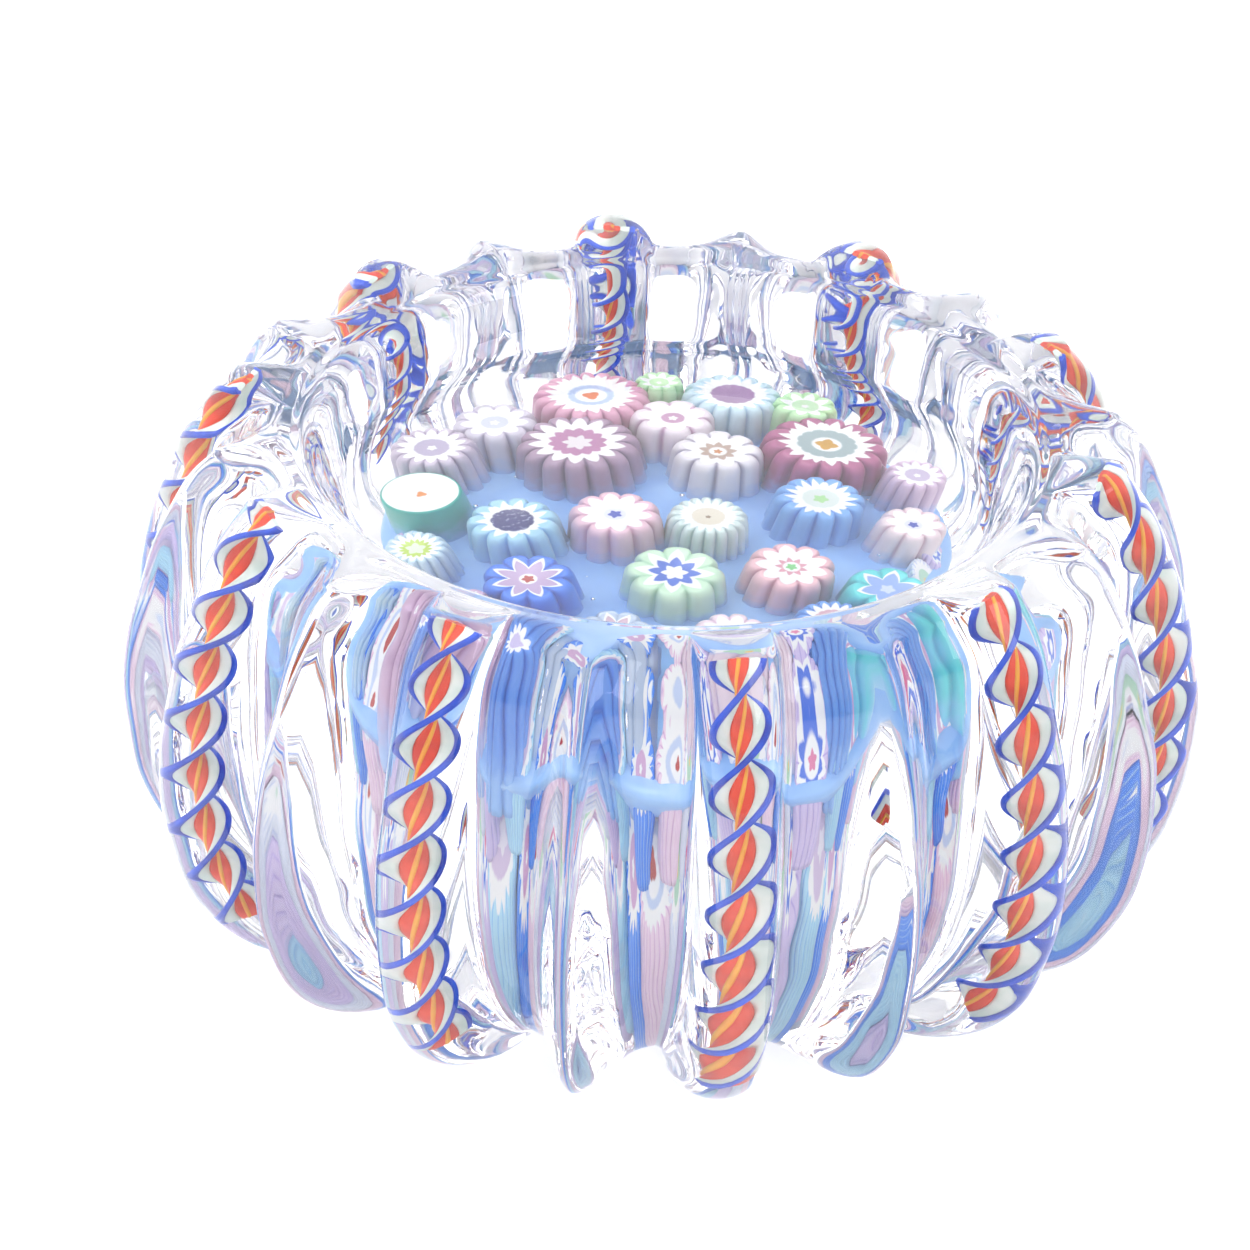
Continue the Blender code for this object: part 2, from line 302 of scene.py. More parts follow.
def rod_stops(count):
    """(distance, rise) from the rod's crest down to the wall: a round arc and a small fillet."""
    stops = []
    for i in range(count):
        turn = math.pi / 2 * i / (count - 1)
        stops.append((ROD_HALF_WIDTH * math.sin(turn) ** ROD_SQUARENESS, math.cos(turn) ** ROD_FALL))
    stops[-1] = (ROD_HALF_WIDTH + ROD_FILLET * 0.25, 0.06)
    stops.append((ROD_HALF_WIDTH + ROD_FILLET, 0.0))
    return stops


def fin_stops(count, reach):
    """(distance, rise) from the fin's crest out to reach."""
    stops = []
    for i in range(count):
        distance = reach * (i / (count - 1)) ** FIN_CROWDING
        stops.append((distance, math.exp(-(distance / FIN_HALF_WIDTH) ** FIN_POWER)))
    return stops


def pair_section(radius):
    """Angles in degrees and rises of rod and fin across one pair, from a fin round to the next."""
    half = math.radians(PAIR_ANGLE / 2) * radius
    rod = rod_stops(ROD_STOPS)
    fin = fin_stops(FIN_STOPS, half - ROD_HALF_WIDTH - ROD_FILLET - RIB_CLEARANCE)
    side = [(half - d, 0.0, rise) for d, rise in fin] + [(d, rise, 0.0) for d, rise in reversed(rod)]
    other = [(-d, rod_rise, fin_rise) for d, rod_rise, fin_rise in reversed(side[1:-1])]
    return [(math.degrees(-d / radius), a, b) for d, a, b in side + other]


print("stops per pair of ribs:", len(pair_section(40)))

# %% [markdown]
# ## The crystal skin
# Optically the casing, the base gather and the rods are one mass of glass, because they are fused hot.
# Gaps between clear pieces would show as silvery films, so one closed skin stands for all of them. It is
# turned ring by ring: up the outside, over the soft rim, and down into the well.

# %% Turn the skin
OUTSIDE_STEPS = 11                 # rings for each stretch between two points of the outline
WELL_STEPS = 5
RIM_STEPS = 5
RIM_ROLL = 0.5                     # how high the rim bulges between its two edges
ROD_TOP_LIFT = 1.3                 # a rod's dome stands this much higher than the fins
ROD_TOP_DRAW = 0.6                 # and this much further in
LEAST_SECTION_RADIUS = 30.0        # near the foot the section keeps the proportions that it has here
POLE_RADIUS = 0.4                  # the last ring before the middle of the well


def slow_wave(degrees, height):
    """The faint unevenness of a handmade wall, in millimetres. It only ever takes glass away."""
    turn = math.radians(degrees)
    wave = 0.06 * math.sin(7 * turn + 0.5 * height) + 0.04 * math.sin(12 * turn - 0.8 * height)
    return wave - 0.1


def outside_ring(station):
    """One ring of the outside: the wall, with rods and fins raised to the crest curve."""
    wall = smooth_point(FLUTE, station)
    crest = smooth_point(CREST, station)
    top = max(0.0, station - (len(FLUTE) - 2))
    rod_crest = crest + Vector((-ROD_TOP_DRAW * top, ROD_TOP_LIFT * top))
    ring = []
    for pair in range(PAIRS):
        for offset, rod, fin in pair_section(max(wall.x, LEAST_SECTION_RADIUS)):
            point = wall + (rod_crest - wall) * rod + (crest - wall) * fin
            degrees = pair * PAIR_ANGLE + offset
            ring.append(around(point.x + slow_wave(degrees, point.y), degrees, point.y))
    return ring


def rim_rings(outer, steps):
    """Rings that roll from the outside's last ring over the rim to the well's edge."""
    count = len(outer)
    edge = [around(WELL[0][0], math.degrees(math.atan2(v.x, -v.y)), WELL[0][1]) for v in outer]
    rings = []
    for i in range(1, steps):
        t = i / steps
        lift = RIM_ROLL * MM * math.sin(math.pi * t)
        rings.append([outer[k].lerp(edge[k], t) + Vector((0, 0, lift)) for k in range(count)])
    return rings + [edge]


def skin_mesh():
    stations = np.linspace(0, len(FLUTE) - 1, OUTSIDE_STEPS * (len(FLUTE) - 1) + 1)
    rings = [outside_ring(s) for s in stations]
    rings += rim_rings(rings[-1], RIM_STEPS)
    angles = [math.degrees(math.atan2(v.x, -v.y)) for v in rings[-1]]
    for s in np.linspace(0, len(WELL) - 1, WELL_STEPS * (len(WELL) - 1) + 1)[1:-1]:
        point = smooth_point(WELL, s)
        rings.append([around(max(point.x, POLE_RADIUS), a, point.y) for a in angles])
    count = len(rings[0])
    verts = [v for ring in rings for v in ring]
    faces = []
    for j in range(len(rings) - 1):
        for i in range(count):
            a, b = j * count + i, j * count + (i + 1) % count
            faces.append((a, b, b + count, a + count))
    verts += [around(0, 0, 0), around(0, 0, WELL[-1][1])]
    last = (len(rings) - 1) * count
    for i in range(count):
        faces.append((i, len(verts) - 2, (i + 1) % count))
        faces.append((last + i, last + (i + 1) % count, len(verts) - 1))
    mesh = bpy.data.meshes.new("crystal_skin")
    mesh.from_pydata(verts, [], faces)
    mesh.shade_smooth()
    return mesh


crystal_skin = place_object("crystal_skin", skin_mesh())
print("crystal skin triangles:", 2 * len(crystal_skin.data.polygons))

# %% [markdown]
# ## Crystal
# Lead crystal is colourless, bends light strongly and is fire polished, so it is a smooth transmitting
# shader. The skin's own slow waves make the refracted colours waver, and the polish is a trace softer in
# some places than in others, which goes into the roughness.

# %% The crystal material
def crystal_material():
    material, board, link = shader_board("clear_crystal", 0.0, Transmission_Weight=1.0, IOR=1.53)
    place = board.add("ShaderNodeTexCoord").out("Object")
    haze = board.add("ShaderNodeTexNoise", None, {"Vector": place, "Scale": 90.0, "Detail": 1.0})
    link(board.step(haze, 0.35, 0.75) * 0.025, "Roughness")
    return material


crystal_skin.data.materials.append(crystal_material())
finish_piece(crystal_skin, "clear_crystal", "crystal_body", "base_gather",
             *[f"twist_rod_{i + 1:02d}" for i in range(PAIRS)])
print("nodes that the skin stands for:", 2 + PAIRS)

# %% [markdown]
# ## Twist canes
# A twist cane is a flat ribbon of coloured glasses, drawn out and turned. Across its width lie a blue
# edge, white, orange-red, a raised yellow stripe, and the same again. A curve along the middle of the rod
# gets a steady tilt, and each glass is its own bar swept along it, so the colours are real layers.

# %% The rod's path
ROD_CENTRE_SHARE = 0.52            # how far out between seat and crest the ribbon runs
PATH_LOW = 2.5                     # stations of the seat where the ribbon starts and ends
PATH_HIGH = 8.95
PATH_POINTS = 80


def path_mesh(degrees):
    """The middle of one rod as a line of points."""
    verts = []
    for station in np.linspace(PATH_LOW, PATH_HIGH, PATH_POINTS):
        seat, crest = smooth_point(SEAT, station), smooth_point(CREST, station)
        point = seat.lerp(crest, ROD_CENTRE_SHARE)
        verts.append(around(point.x, degrees, point.y))
    mesh = bpy.data.meshes.new("rod_path")
    mesh.from_pydata(verts, [(i, i + 1) for i in range(len(verts) - 1)], [])
    return mesh


print("points on a ribbon's path:", PATH_POINTS)

# %% The ribbon tree
RIBBON_WIDTH = 3.9
RIBBON_TURNS = 3.9
# each bar: its glass, and its middle, width and thickness as shares of the ribbon's width
RIBBON_BARS = (("Orange", 0.0, 0.40, 0.155), ("Yellow", 0.0, 0.085, 0.215), ("White", 0.31, 0.24, 0.14),
               ("White", -0.31, 0.24, 0.14), ("Blue", 0.46, 0.125, 0.19), ("Blue", -0.46, 0.125, 0.19))


def ribbon_board():
    board = growth_board("twisted_ribbon", {
        "Ribbon Width": ("Float", RIBBON_WIDTH * MM), "Turns": ("Float", RIBBON_TURNS),
        "Start Turn": ("Float", 0.0),
        "Blue": ("Material", None), "White": ("Material", None), "Orange": ("Material", None),
        "Yellow": ("Material", None)})
    width = given(board, "Ribbon Width")
    line = board.add("GeometryNodeMeshToCurve", None, {"Mesh": given(board, "Geometry")})
    line = board.add("GeometryNodeResampleCurve", None, {"Curve": line, "Count": 260})
    share = board.add("GeometryNodeSplineParameter")
    tilt = (share * given(board, "Turns") + given(board, "Start Turn")) * (2 * math.pi)
    line = board.add("GeometryNodeSetCurveTilt", None, {"Curve": line, "Tilt": tilt})
    parts = []
    for glass, centre, wide, thick in RIBBON_BARS:
        shape = board.add("GeometryNodeCurvePrimitiveQuadrilateral", None,
                          {"Width": width * thick, "Height": width * wide})
        shape = board.add("GeometryNodeFilletCurve", {"mode": "POLY"},
                          {"Curve": shape, "Radius": width * (min(wide, thick) * 0.42), "Count": 2})
        shift = board.add("ShaderNodeCombineXYZ", None, {"Y": width * centre})
        shape = board.add("GeometryNodeTransform", None, {"Geometry": shape, "Translation": shift})
        bar = board.add("GeometryNodeCurveToMesh", None,
                        {"Curve": line, "Profile Curve": shape, "Fill Caps": True})
        parts.append(board.add("GeometryNodeSetMaterial", None,
                               {"Geometry": bar, "Material": given(board, glass)}))
    joined = board.add("GeometryNodeJoinGeometry")
    for part in parts:
        board.tree.links.new(part.socket, joined.socket.node.inputs["Geometry"])
    smooth = board.add("GeometryNodeSetShadeSmooth", None, {"Geometry": joined})
    close_tree(board, smooth)
    return board


print("glass bars in a ribbon:", len(RIBBON_BARS))

# %% Ribbon glasses
def ribbon_glass(name, colour, deeper):
    """Opaque glass drawn out along the ribbon: long soft streaks from one tone to a deeper one."""
    material, board, link = shader_board(name, 0.35, IOR=1.5)
    place = board.add("ShaderNodeTexCoord").out("Object")
    streaks = board.add("ShaderNodeTexNoise", None, {"Vector": place, "Scale": 420.0, "Detail": 2.0})
    link(board.mix(board.step(streaks, 0.35, 0.75), colour, deeper), "Base Color")
    return material


RIBBON_GLASSES = {
    "Blue": ribbon_glass("twist_blue", (0.012, 0.100, 0.80), (0.006, 0.045, 0.52)),
    "White": ribbon_glass("twist_white", (0.88, 0.95, 0.88), (0.68, 0.82, 0.74)),
    "Orange": ribbon_glass("twist_orange", (0.90, 0.055, 0.008), (0.70, 0.030, 0.006)),
    "Yellow": ribbon_glass("twist_yellow", (0.97, 0.44, 0.030), (0.90, 0.33, 0.020)),
}
ribbon_tree = ribbon_board()
for rib in range(PAIRS):
    number = f"{rib + 1:02d}"
    values = dict(RIBBON_GLASSES)
    values["Ribbon Width"] = RIBBON_WIDTH * MM
    values["Turns"] = RIBBON_TURNS
    values["Start Turn"] = 0.35 + 0.04 * math.sin(2.4 * rib)
    twist = grow("ribbon_" + number, ribbon_tree, values, path_mesh(rib * PAIR_ANGLE))
    finish_piece(twist, "twist_ribbon", "twist_ribbon_" + number)
print("ribbon triangles:", sum(len(p.vertices) - 2 for p in twist.data.polygons))

# %% [markdown]
# ## The colour ground
# The canes stand in a cushion of opaque blue glass, shaped like a mushroom: a low dome on a stem that narrows
# to the foot, so that clear crystal shows at the sides. It was soft when the canes were pushed in, so its
# top sags a little and its colour is drawn out in slow swirls. It is turned from an outline, and each point
# moves up or down by a slow wave.

# %% Turn the cushion
GROUND_TOP = ((0.0, 30.4), (10.0, 30.2), (19.0, 29.6), (23.6, 28.8), (25.8, 27.5), (24.0, 25.9),
              (19.8, 23.4), (17.6, 15.0), (15.4, 6.5), (13.0, 2.7))
GROUND_RINGS = 54
GROUND_SIDES = 144
GROUND_SAG = 0.35                  # how far the slow wave moves the top up or down
GROUND_BLUE = (0.33, 0.58, 0.97)


def ground_mesh():
    rings = []
    for s in np.linspace(0, len(GROUND_TOP) - 1, GROUND_RINGS + 1)[1:]:
        point = smooth_point(GROUND_TOP, s)
        ring = []
        for i in range(GROUND_SIDES):
            degrees = 360 * i / GROUND_SIDES
            turn = math.radians(degrees)
            wave = math.sin(5 * turn + 0.35 * point.x) * math.sin(0.55 * point.x + 2 * turn)
            sag = GROUND_SAG * wave * min(1, point.x / 8)
            ring.append(around(point.x, degrees, point.y + sag))
        rings.append(ring)
    poles = [around(0, 0, GROUND_TOP[0][1]), around(0, 0, GROUND_TOP[-1][1])]
    verts = [v for ring in rings for v in ring] + poles
    faces = []
    count = GROUND_SIDES
    for j in range(len(rings) - 1):
        for i in range(count):
            a, b = j * count + i, j * count + (i + 1) % count
            faces.append((a, a + count, b + count, b))
    last = (len(rings) - 1) * count
    for i in range(count):
        faces.append((len(verts) - 2, i, (i + 1) % count))
        faces.append((last + i, len(verts) - 1, last + (i + 1) % count))
    mesh = bpy.data.meshes.new("ground_cushion")
    mesh.from_pydata(verts, [], faces)
    mesh.shade_smooth()
    return mesh


def ground_glass():
    """Cornflower blue with slow swirls of a lighter and a deeper tone."""
    material, board, link = shader_board("ground_blue", 0.3)
    place = board.add("ShaderNodeTexCoord").out("Object")
    bend = board.add("ShaderNodeTexNoise", None, {"Vector": place, "Scale": 45.0, "Detail": 2.0})
    shifted = board.vector("MULTIPLY_ADD", bend.out("Color"), (0.03, 0.03, 0.03), place)
    swirl = board.add("ShaderNodeTexNoise", None, {"Vector": shifted, "Scale": 120.0, "Detail": 3.0})
    colour = board.mix(board.step(swirl, 0.30, 0.62), (0.25, 0.49, 0.94), GROUND_BLUE)
    colour = board.mix(board.step(swirl, 0.60, 0.78), colour, (0.46, 0.68, 0.97))
    link(colour, "Base Color")
    return material


ground = place_object("ground_cushion", ground_mesh())
ground.data.materials.append(ground_glass())
finish_piece(ground, "colour_ground", "colour_ground")
print("cushion triangles:", sum(len(p.vertices) - 2 for p in ground.data.polygons))

# %% [markdown]
# ## The shape of a millefiori cane
# A cane is a bundle of coloured rods, fused and pulled in a lobed mould, then cut. Heat rounds the cut's
# edge and changes the foot's width. One grid is wrapped into that shape: a dished top, a shoulder, a lobed
# side and a foot. The tree also stores where each point lies on the cane, for the colours to read, and
# sets one cane on each point that it is given, leaning the way that point says.

# %% The cane tree
def cane_board():
    board = growth_board("pulled_cane", {
        "Cane Radius": ("Float", 3.5 * MM), "Top Share": ("Float", 0.8), "Length": ("Float", 8 * MM),
        "Shoulder": ("Float", 1.5 * MM), "Dish": ("Float", 0.35 * MM), "Flare": ("Float", 1.1),
        "Lobes": ("Int", 12), "Lobe Depth": ("Float", 0.12), "Turn": ("Float", 0.0),
        "Slant": ("Float", 0.0), "Glass": ("Material", None)})
    radius, length = given(board, "Cane Radius"), given(board, "Length")
    shoulder, top_share = given(board, "Shoulder"), given(board, "Top Share")
    grid = board.add("GeometryNodeMeshGrid", None,
                     {"Size X": 1.0, "Size Y": 1.0, "Vertices X": 145, "Vertices Y": 31})
    spot = board.add("ShaderNodeSeparateXYZ", None, {0: board.add("GeometryNodeInputPosition")})
    turn = (spot + 0.5) * (2 * math.pi)
    along = spot.out("Y") + 0.5
    top = board.step(along, 0.0, 0.40, smooth=False)
    bend = board.step(along, 0.40, 0.62, smooth=False)
    side = board.step(along, 0.62, 0.93, smooth=False)
    foot = board.step(along, 0.93, 1.0, smooth=False)
    swell = board.math("SINE", bend * (math.pi / 2))
    drop = 1 - board.math("COSINE", bend * (math.pi / 2))
    reach = radius * top_share * top + radius * (1 - top_share) * swell
    reach = (reach + radius * (given(board, "Flare") - 1) * side) * (1 - foot)
    pattern = turn + given(board, "Turn")
    lobe = board.math("ABSOLUTE", board.math("SINE", pattern * given(board, "Lobes") * 0.5))
    groove = (1 - lobe) * (1 - lobe) * given(board, "Lobe Depth") * top * top
    reach = reach * (1 - groove)
    height = given(board, "Dish") * (top * top - 1) - shoulder * drop - (length - shoulder) * side
    cos, sin = board.math("COSINE", turn), board.math("SINE", turn)
    height = height - given(board, "Slant") * reach * cos * (1 - side)
    chart = board.add("ShaderNodeCombineXYZ", None, {
        "X": top * board.math("COSINE", pattern), "Y": top * board.math("SINE", pattern),
        "Z": bend + side + foot})
    shape = board.add("GeometryNodeStoreNamedAttribute", {"data_type": "FLOAT_VECTOR", "domain": "POINT"},
                      {"Geometry": grid, "Name": "cane", "Value": chart})
    place = board.add("ShaderNodeCombineXYZ", None, {"X": reach * cos, "Y": reach * sin, "Z": height})
    shape = board.add("GeometryNodeSetPosition", None, {"Geometry": shape, "Position": place})
    shape = board.add("GeometryNodeMergeByDistance", None, {"Geometry": shape, "Distance": 1e-6})
    shape = board.add("GeometryNodeFlipFaces", None, {"Mesh": shape})
    shape = board.add("GeometryNodeSetShadeSmooth", None, {"Geometry": shape})
    stand = board.add("GeometryNodeInputNamedAttribute", {"data_type": "QUATERNION"}, {"Name": "stand"})
    canes = board.add("GeometryNodeInstanceOnPoints", None,
                      {"Points": given(board, "Geometry"), "Instance": shape, "Rotation": stand})
    close_tree(board, canes, "Glass")
    return board


def cane_spots(spots):
    """A mesh of lone points. Each stores how its cane stands: Z is the lean, and X points outwards."""
    mesh = bpy.data.meshes.new("cane_spots")
    mesh.from_pydata([place for place, _ in spots], [], [])
    turns = []
    for place, lean in spots:
        aside = lean.cross(Vector((place.x, place.y, 0))).normalized()
        turns.extend(Matrix((aside.cross(lean), aside, lean)).transposed().to_quaternion())
    mesh.attributes.new("stand", "QUATERNION", "POINT").data.foreach_set("value", turns)
    return mesh


cane_tree = cane_board()
print("cane tree inputs:", list(cane_tree.ids))

# %% [markdown]
# ## The colours of a cane
# Seen from above, a cane is a set of outlines inside each other: coloured lobes, a white ring of petals or
# points, a core, a pale halo and a heart. Seen from the side it is striped: each groove takes a second
# colour, which is painted shade where it is darker than the side and a paler stripe where it is lighter, and
# its foot fades into the blue. The shader reads the stored chart: its length is 0 in the middle of the top
# and 1 at the edge, its angle tells the lobes, and its height runs down the side. Each palette names only
# colours and proportions.

# %% Cane glass
WHITE = (0.93, 0.95, 0.96)
SOFT = 0.035                       # width of the melt between two glasses, as a share of the radius


def points_wave(board, angle, count):
    """0 in each notch and 1 at each tip, straight between them, count times round."""
    sine = board.math("ABSOLUTE", board.math("SINE", angle * (count / 2)))
    return board.math("ARCSINE", sine) * (2 / math.pi)


def cane_glass(name, side, groove_shade_and_stripe, lobes, ring=WHITE, points=0, bite=0.2, ring_in=0.5, core_bite=0.0,
               core=WHITE, halo=0.0, heart=WHITE, heart_size=0.15, heart_points=5, speckle=0.0,
               drip=0.35, sink=0.85):
    """One cane's glass. Colours run from the side in: side and grooves, ring, core, halo, heart. The grooves
    are painted in a second colour, which is painted shade where it is darker than the side and a paler stripe
    where it is lighter. Drip is how far the ring runs down the shoulder, and sink how much the foot fades
    into the blue."""
    material, board, link = shader_board(name, 0.3)
    chart = board.add("ShaderNodeAttribute", {"attribute_name": "cane"}).out("Vector")
    parts = board.add("ShaderNodeSeparateXYZ", None, {0: chart})
    x, y, down = parts.out("X"), parts.out("Y"), parts.out("Z")
    angle = board.math("ARCTAN2", y, x)
    reach = board.math("SQRT", x * x + y * y)
    place = board.add("ShaderNodeTexCoord").out("Object")
    grain = board.add("ShaderNodeTexNoise", None, {"Vector": place, "Scale": 700.0, "Detail": 2.0})
    lobe = board.math("ABSOLUTE", board.math("SINE", angle * (max(lobes, 1) / 2)))
    # painted shade: each groove between the lobes is darkened towards the second colour, a paler stripe where
    # that colour is lighter than the side
    groove = 1 - board.step(lobe, 0.0, 0.45)
    colour = board.mix(groove * (0.7 if lobes else 0.0), side, groove_shade_and_stripe)
    if sink:
        fade = board.step(down + (grain - 0.5) * 0.4, 1.15, 1.75) * sink
        colour = board.mix(fade, colour, GROUND_BLUE)
    wave = points_wave(board, angle, points or lobes)
    wobble = (grain - 0.5) * 0.05
    edge = 1 - bite * (1 - wave) + wobble
    on_ring = 1 - board.step(reach + down * (1 / drip), edge - SOFT, edge + SOFT)
    colour = board.mix(on_ring, colour, ring)
    core_edge = ring_in * (1 - core_bite * (1 - wave)) + wobble
    on_core = 1 - board.step(reach, core_edge - SOFT, core_edge + SOFT)
    core_colour = core
    if speckle:
        dust = board.add("ShaderNodeTexNoise", None, {"Vector": place, "Scale": 2600.0})
        core_colour = board.mix(board.step(dust, 0.55, 0.7) * speckle, core, (0.5, 0.55, 0.8))
    colour = board.mix(on_core, colour, core_colour)
    if halo:
        colour = board.mix(1 - board.step(reach, halo - SOFT, halo + SOFT), colour, WHITE)
    spikes = points_wave(board, angle, heart_points)
    heart_edge = heart_size * (0.62 + 0.38 * spikes) + wobble * 0.6
    on_heart = 1 - board.step(reach, heart_edge - 0.02, heart_edge + 0.03)
    colour = board.mix(on_heart, colour, heart)
    link(colour, "Base Color")
    return material


print("melt between two glasses:", SOFT, "of a cane's radius")

# %% Palettes of the cushion canes, in the order of the frame's nodes
BLUE_HEART, RED_HEART = (0.05, 0.09, 0.52), (0.50, 0.05, 0.05)
# each palette's second colour goes into the grooves of its lobes: painted shade where it is darker than the
# side
CUSHION = (
    dict(side=(0.84, 0.56, 0.68), groove_shade_and_stripe=(0.58, 0.24, 0.42), lobes=10, ring_in=0.3, core=(0.80, 0.82, 0.94),
         heart=BLUE_HEART, heart_size=0.2),
    dict(side=(0.70, 0.85, 0.84), groove_shade_and_stripe=(0.44, 0.62, 0.68), lobes=18, points=20, ring_in=0.52,
         core=(0.80, 0.75, 0.64), heart=(0.28, 0.20, 0.12), heart_size=0.09),
    dict(side=(0.62, 0.88, 0.66), groove_shade_and_stripe=(0.36, 0.68, 0.46), lobes=8, bite=0.42, ring_in=0.66, core_bite=0.35,
         core=(0.05, 0.15, 0.66), heart=WHITE, heart_size=0.34, heart_points=6),
    dict(side=(0.88, 0.55, 0.62), groove_shade_and_stripe=(0.52, 0.16, 0.26), lobes=9, ring_in=0.46, core_bite=0.4,
         core=(0.72, 0.32, 0.42), halo=0.24, heart=(0.20, 0.62, 0.22), heart_size=0.17),
    dict(side=(0.20, 0.46, 0.92), groove_shade_and_stripe=(0.05, 0.20, 0.72), lobes=12, points=18, bite=0.3, ring_in=0.5,
         core=(0.72, 0.82, 0.80), heart=(0.40, 0.74, 0.34), heart_size=0.22),
    dict(side=(0.82, 0.80, 0.86), groove_shade_and_stripe=(0.16, 0.12, 0.28), lobes=9, ring_in=0.52, core_bite=0.3,
         core=(0.50, 0.36, 0.30), halo=0.24, heart=(0.58, 0.22, 0.06), heart_size=0.13),
    dict(side=(0.42, 0.28, 0.42), groove_shade_and_stripe=(0.06, 0.02, 0.09), lobes=14, ring_in=0.60, core_bite=0.12,
         core=(0.48, 0.20, 0.40), heart=(0.80, 0.76, 0.80), heart_size=0.32, heart_points=7),
    dict(side=(0.40, 0.72, 0.92), groove_shade_and_stripe=(0.13, 0.40, 0.80), lobes=11, points=13, bite=0.3, ring_in=0.58,
         core=(0.045, 0.045, 0.20), heart=(0.05, 0.05, 0.22), speckle=0.7),
    dict(side=(0.05, 0.22, 0.88), groove_shade_and_stripe=(0.01, 0.07, 0.52), lobes=8, bite=0.45, ring_in=0.86, core_bite=0.45,
         core=(0.54, 0.40, 0.64), halo=0.24, heart=RED_HEART, heart_size=0.18),
    dict(side=(0.50, 0.62, 0.80), groove_shade_and_stripe=(0.30, 0.42, 0.62), lobes=8, bite=0.45, ring_in=0.84, core_bite=0.45,
         core=(0.60, 0.42, 0.54), halo=0.2, heart=(0.62, 0.22, 0.36)),
    dict(side=(0.86, 0.72, 0.82), groove_shade_and_stripe=(0.58, 0.36, 0.56), lobes=10, ring_in=0.3, core=(0.80, 0.82, 0.94),
         heart=BLUE_HEART, heart_size=0.2),
    dict(side=(0.12, 0.34, 0.86), groove_shade_and_stripe=(0.03, 0.14, 0.60), lobes=16, ring_in=0.64, core=(0.64, 0.38, 0.50),
         heart=(0.82, 0.70, 0.76), heart_size=0.24),
    dict(side=(0.10, 0.72, 0.76), groove_shade_and_stripe=(0.03, 0.44, 0.56), lobes=6, bite=0.45, ring_in=0.84, core_bite=0.4,
         core=(0.28, 0.44, 0.86), heart=(0.60, 0.70, 0.92), heart_size=0.25),
    dict(side=(0.88, 0.74, 0.80), groove_shade_and_stripe=(0.64, 0.38, 0.50), lobes=8, ring_in=0.32, core=(0.78, 0.80, 0.93),
         heart=BLUE_HEART, heart_size=0.2),
    dict(side=(0.74, 0.58, 0.76), groove_shade_and_stripe=(0.48, 0.32, 0.54), lobes=12, ring_in=0.5, core=(0.60, 0.52, 0.72)),
    dict(side=(0.46, 0.12, 0.28), groove_shade_and_stripe=(0.20, 0.02, 0.11), lobes=13, points=20, bite=0.22, ring_in=0.60,
         core=(0.36, 0.47, 0.50), halo=0.3, heart=(0.64, 0.34, 0.04), heart_size=0.24, heart_points=4),
    dict(side=(0.56, 0.88, 0.52), groove_shade_and_stripe=(0.34, 0.70, 0.36), lobes=8, bite=0.4, ring_in=0.5,
         core=(0.60, 0.84, 0.58)),
    dict(side=(0.60, 0.80, 0.90), groove_shade_and_stripe=(0.34, 0.58, 0.82), lobes=15, points=18, ring_in=0.56,
         core=(0.36, 0.22, 0.42), heart=(0.34, 0.20, 0.40)),
    dict(side=(0.84, 0.76, 0.84), groove_shade_and_stripe=(0.42, 0.14, 0.36), lobes=7, ring_in=0.34, core=(0.56, 0.30, 0.50),
         heart=WHITE),
    dict(side=(0.58, 0.88, 0.54), groove_shade_and_stripe=(0.36, 0.72, 0.38), lobes=8, bite=0.4, ring_in=0.5,
         core=(0.56, 0.82, 0.50)),
    dict(side=(0.74, 0.38, 0.54), groove_shade_and_stripe=(0.50, 0.16, 0.34), lobes=18, points=24, bite=0.16, ring_in=0.5,
         core=(0.48, 0.60, 0.86), halo=0.34, heart=(0.74, 0.17, 0.04), heart_size=0.2, heart_points=3),
    dict(side=(0.68, 0.64, 0.76), groove_shade_and_stripe=(0.32, 0.26, 0.44), lobes=9, ring_in=0.4, core=(0.66, 0.70, 0.80)),
    dict(side=(0.64, 0.56, 0.70), groove_shade_and_stripe=(0.24, 0.16, 0.34), lobes=14, ring_in=0.5, core=(0.50, 0.44, 0.62)),
    dict(side=(0.01, 0.44, 0.37), groove_shade_and_stripe=(0.0, 0.22, 0.19), lobes=0, points=1, bite=0.0, ring_in=0.2,
         core=WHITE, heart=(0.76, 0.26, 0.05), heart_size=0.15, heart_points=3, drip=0.12),
    dict(side=(0.56, 0.76, 0.87), groove_shade_and_stripe=(0.30, 0.55, 0.76), lobes=16, points=16, ring_in=0.64, core_bite=0.25,
         core=(0.50, 0.70, 0.10), heart=(0.76, 0.86, 0.70), heart_size=0.4),
    dict(side=(0.64, 0.44, 0.64), groove_shade_and_stripe=(0.42, 0.22, 0.44), lobes=8, bite=0.45, ring_in=0.84, core_bite=0.45,
         core=(0.72, 0.52, 0.68), heart=RED_HEART),
    dict(side=(0.12, 0.32, 0.88), groove_shade_and_stripe=(0.04, 0.14, 0.62), lobes=14, ring_in=0.6, core=(0.60, 0.54, 0.80),
         heart=(0.70, 0.30, 0.46)),
)
print("cushion palettes:", len(CUSHION))

# %% [markdown]
# ## Setting the canes
# Each cushion cane takes its place and width from its node in the frame. The canes lean outwards with the
# cushion's dome and stand well proud of the blue, so that their striped sides show through the well.

# %% Cushion canes
CANE_TOP = 37.4                    # height of a cane's top on the axis, in millimetres
TOP_FALL = 0.0025                  # how fast the tops fall towards the cushion's edge
TOP_SPREAD = 1.022                 # a leaning cane's top is this much further out than its middle
CANE_LEAN = 0.008                  # lean for each millimetre from the axis


